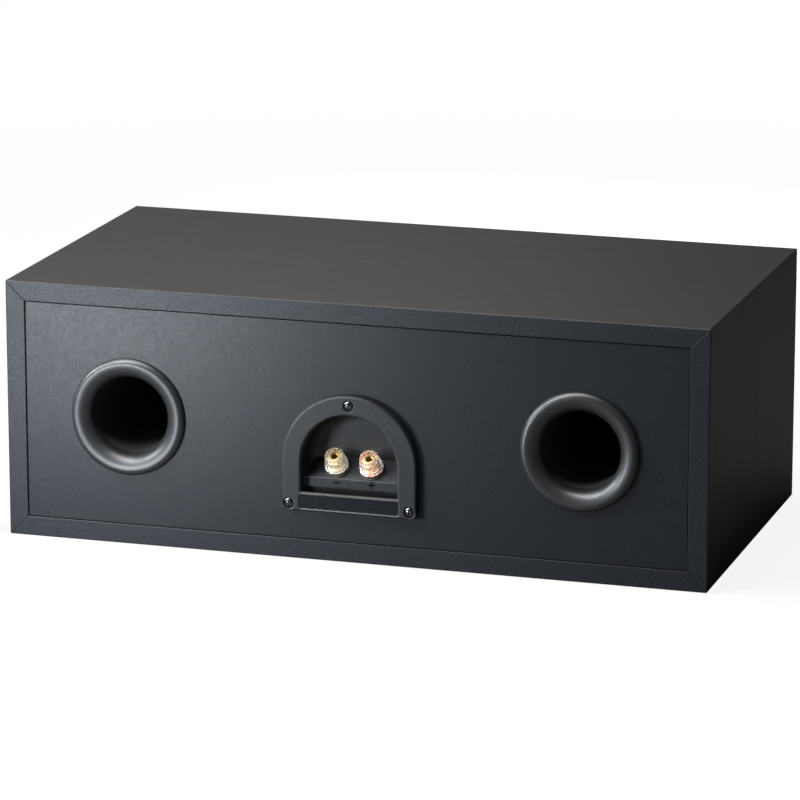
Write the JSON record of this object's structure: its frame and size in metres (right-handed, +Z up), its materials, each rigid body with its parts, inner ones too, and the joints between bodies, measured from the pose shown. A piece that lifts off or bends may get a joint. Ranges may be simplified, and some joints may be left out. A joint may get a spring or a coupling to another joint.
{
  "type": "center channel speaker",
  "caption": "Wide low center channel speaker cabinet in black vinyl with flared rear ports, an arched terminal cup holding binding posts, and woofers beside a dome tweeter on the front.",
  "frame": {"origin": "middle of the underside of the cabinet, on the surface it stands on", "axes": "+X along the cabinet's width, to the right when the rear side is looked at; +Y from the rear side with the terminals to the front side with the drivers; +Z up"},
  "size_m": [0.46, 0.2496, 0.167],
  "materials": {
    "vinyl": "satin black vinyl on fibreboard",
    "panel_vinyl": "satin black vinyl on fibreboard",
    "wadding": "loose polyester wadding",
    "port_plastic": "satin",
    "cup_plastic": "fine-grained",
    "foam": "closed-cell foam",
    "black_screw": "black oxide, gloss",
    "clear_plastic": "clear",
    "gold": "gold plated",
    "black_marker": "gloss",
    "red_marker": "gloss",
    "plated_steel": "zinc plated",
    "frame_metal": "black satin",
    "surround_rubber": "matte",
    "cone_paper": "coated paper",
    "coil_copper": "enamelled copper",
    "spider_cloth": "resin-treated cloth",
    "motor_steel": "zinc plated",
    "ferrite": "matte",
    "faceplate_plastic": "satin",
    "dome_silk": "coated silk",
    "circuit": "lacquered",
    "nylon": "natural",
    "capacitor_film": "gloss",
    "ceramic": "cement",
    "wire_sleeve": "smooth"
  },
  "bodies": {
    "cabinet": {"bottom_panel": "vinyl", "capacitors": "capacitor_film", "crossover_board": "circuit", "crossover_screws": "plated_steel", "crossover_standoffs": "nylon", "front_baffle": "panel_vinyl", "input_leads": "wire_sleeve", "left_panel": "vinyl", "left_port": "port_plastic", "left_wadding": "wadding", "left_woofer_frame": "frame_metal", "left_woofer_magnet": "ferrite", "left_woofer_spider": "spider_cloth", "left_woofer_surround": "surround_rubber", "left_woofer_top_plate": "motor_steel", "left_woofer_yoke": "motor_steel", "negative_collar": "clear_plastic", "negative_ring": "black_marker", "negative_stud": "gold", "positive_collar": "clear_plastic", "positive_ring": "red_marker", "positive_stud": "gold", "post_nuts": "plated_steel", "rear_panel": "panel_vinyl", "resistor": "ceramic", "right_panel": "vinyl", "right_port": "port_plastic", "right_wadding": "wadding", "right_woofer_frame": "frame_metal", "right_woofer_magnet": "ferrite", "right_woofer_spider": "spider_cloth", "right_woofer_surround": "surround_rubber", "right_woofer_top_plate": "motor_steel", "right_woofer_yoke": "motor_steel", "solder_tags": "plated_steel", "terminal_cup": "cup_plastic", "terminal_gasket": "foam", "terminal_screws": "black_screw", "top_panel": "vinyl", "tweeter_choke": "coil_copper", "tweeter_dome": "dome_silk", "tweeter_faceplate": "faceplate_plastic", "tweeter_leads": "wire_sleeve", "tweeter_magnet": "ferrite", "tweeter_screws": "black_screw", "tweeter_top_plate": "motor_steel", "tweeter_yoke": "motor_steel", "woofer_choke": "coil_copper", "woofer_leads": "wire_sleeve", "woofer_screws": "black_screw"},
    "left_cone": {"left_woofer_cone": "cone_paper", "left_woofer_dust_cap": "cone_paper", "left_woofer_voice_coil": "coil_copper"},
    "right_cone": {"right_woofer_cone": "cone_paper", "right_woofer_dust_cap": "cone_paper", "right_woofer_voice_coil": "coil_copper"},
    "negative_core": {"negative_core": "gold"},
    "negative_cap": {"negative_cap": "clear_plastic"},
    "positive_core": {"positive_core": "gold"},
    "positive_cap": {"positive_cap": "clear_plastic"}
  },
  "joints": [
    {"name": "left_cone_stroke", "type": "slide", "parent": "cabinet", "child": "left_cone", "axis": [0, 1, 0], "range_m": [-0.004, 0.004], "stiffness_N_per_m": 1100, "deforming": ["left_woofer_surround", "left_woofer_spider"]},
    {"name": "right_cone_stroke", "type": "slide", "parent": "cabinet", "child": "right_cone", "axis": [0, 1, 0], "range_m": [-0.004, 0.004], "stiffness_N_per_m": 1100, "deforming": ["right_woofer_surround", "right_woofer_spider"]},
    {"name": "negative_core_travel", "type": "slide", "parent": "cabinet", "child": "negative_core", "axis": [0, -0.6088, 0.7934], "range_m": [0, 0.00525]},
    {"name": "negative_cap_turn", "type": "hinge", "parent": "negative_core", "child": "negative_cap", "pos_m": [-0.0114, -0.1108, 0.05865], "axis": [0, -0.6088, 0.7934], "range_deg": [0, 2520.5]},
    {"name": "positive_core_travel", "type": "slide", "parent": "cabinet", "child": "positive_core", "axis": [0, -0.6088, 0.7934], "range_m": [0, 0.00525]},
    {"name": "positive_cap_turn", "type": "hinge", "parent": "positive_core", "child": "positive_cap", "pos_m": [0.0114, -0.1108, 0.05865], "axis": [0, -0.6088, 0.7934], "range_deg": [0, 2520.5]}
  ],
  "couplings": [
    {"joint": "negative_cap_turn", "follows": "negative_core_travel", "rad_per_m": 8377.6},
    {"joint": "positive_cap_turn", "follows": "positive_core_travel", "rad_per_m": 8377.6}
  ]
}
